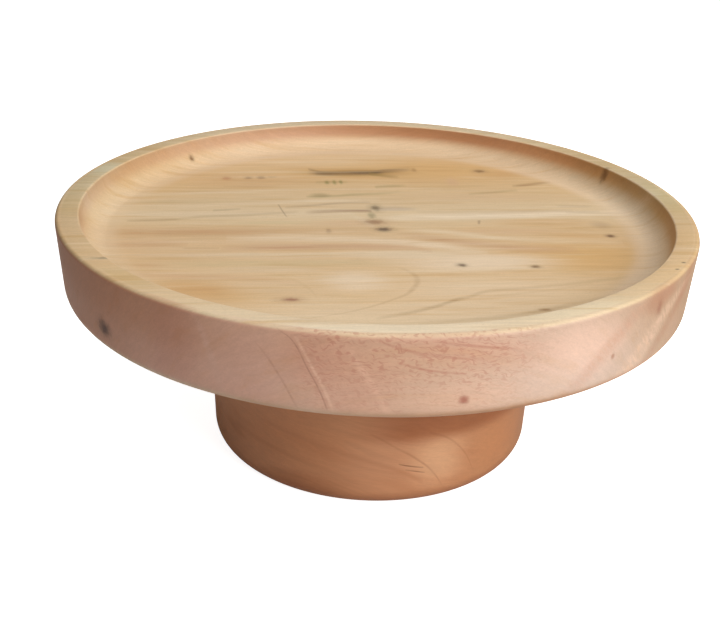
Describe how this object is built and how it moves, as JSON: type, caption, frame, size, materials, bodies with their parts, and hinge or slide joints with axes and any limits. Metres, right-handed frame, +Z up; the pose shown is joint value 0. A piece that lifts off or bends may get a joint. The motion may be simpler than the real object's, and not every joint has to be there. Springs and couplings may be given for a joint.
{
  "type": "cake stand",
  "caption": "Round wooden cake stand: a dished plate with a raised rim, turned from one slab, doweled and screwed onto a wide drum-shaped pedestal.",
  "frame": {"origin": "centre of the foot's resting face", "axes": "+Z up along the turning axis; -Y towards the front; the plate's grain runs 6.3 degrees anticlockwise from +X"},
  "size_m": [0.2998, 0.2998, 0.122],
  "materials": {
    "plate_wood": "turned and sanded raw hardwood, pale and golden figure with small knots, no oil or varnish",
    "drum_wood": "turned and sanded raw hardwood, reddish brown, no oil or varnish",
    "dowel_wood": "fluted beech",
    "screw_steel": "yellow zinc plated"
  },
  "bodies": {
    "root": {"plate": "plate_wood", "pedestal": "drum_wood", "centre_dowel": "dowel_wood", "fixing_screws": "screw_steel"}
  },
  "joints": []
}
